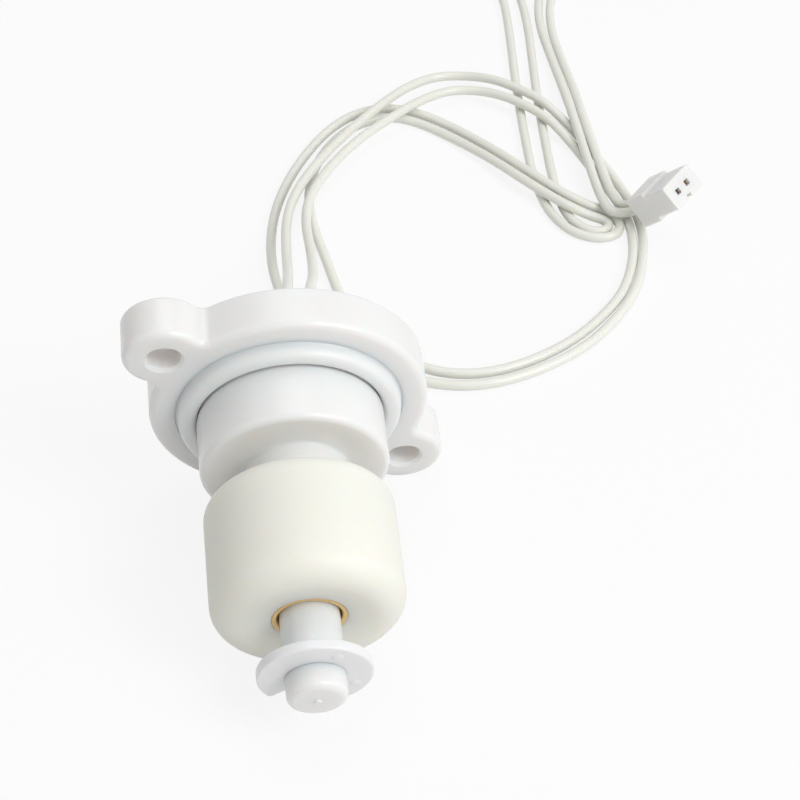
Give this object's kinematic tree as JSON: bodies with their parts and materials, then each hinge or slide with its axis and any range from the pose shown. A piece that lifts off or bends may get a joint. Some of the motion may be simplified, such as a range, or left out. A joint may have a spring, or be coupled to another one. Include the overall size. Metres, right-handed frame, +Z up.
{
  "type": "float level switch",
  "caption": "Small vertical float level switch in white plastic, with a two-eared flange, a cream float on its stem, thin off-white wires and a small plug.",
  "frame": {"origin": "On the table the switch lies on, under the middle of the box of the switch without its free wires and plug", "axes": "+Z up from the table; the switch lies on its flange, one ear and its float with the stem's tip towards -Y and a little down; the wires run to +Y; +X is to the right seen from the tip's end with Z up"},
  "size_m": [0.094, 0.2014, 0.0393],
  "materials": {
    "body_plastic": "gloss",
    "clip_plastic": "gloss",
    "seal_rubber": "satin",
    "potting_resin": "satin",
    "reed_glass": "clear",
    "blade_metal": "satin",
    "solder_metal": "satin",
    "sleeve_plastic": "matt",
    "wire_insulation": "satin",
    "plug_plastic": "satin",
    "contact_brass": "satin",
    "tinned_copper": "satin",
    "float_foam": "matt",
    "magnet_ferrite": "matt",
    "float_resin": "satin"
  },
  "bodies": {
    "switch_body": {"flange_body": "body_plastic", "seal_ring": "seal_rubber", "retaining_clip": "clip_plastic", "back_potting": "potting_resin", "reed_glass": "reed_glass", "reed_blade_upper": "blade_metal", "reed_blade_lower": "blade_metal", "lead_solder_upper": "solder_metal", "lead_solder_lower": "solder_metal", "lead_sleeve_upper": "sleeve_plastic", "lead_sleeve_lower": "sleeve_plastic", "inner_lead_short": "wire_insulation", "inner_lead_long": "wire_insulation", "wire_one": "wire_insulation", "wire_two": "wire_insulation", "plug_housing": "plug_plastic", "plug_contact_one": "contact_brass", "plug_contact_two": "contact_brass", "bare_end_one": "tinned_copper", "bare_end_two": "tinned_copper"},
    "float_carrier": {"float_magnet": "magnet_ferrite"},
    "float": {"float_shell": "float_foam", "float_resin": "float_resin"}
  },
  "joints": [
    {"name": "float_slide", "type": "slide", "parent": "switch_body", "child": "float_carrier", "axis": [0, -0.9796, -0.2011], "range_m": [-0.0023, 0.0064]},
    {"name": "float_spin", "type": "hinge", "parent": "float_carrier", "child": "float", "pos_m": [0, -0.00617, 0.01409], "axis": [0, -0.9796, -0.2011], "continuous": true}
  ]
}
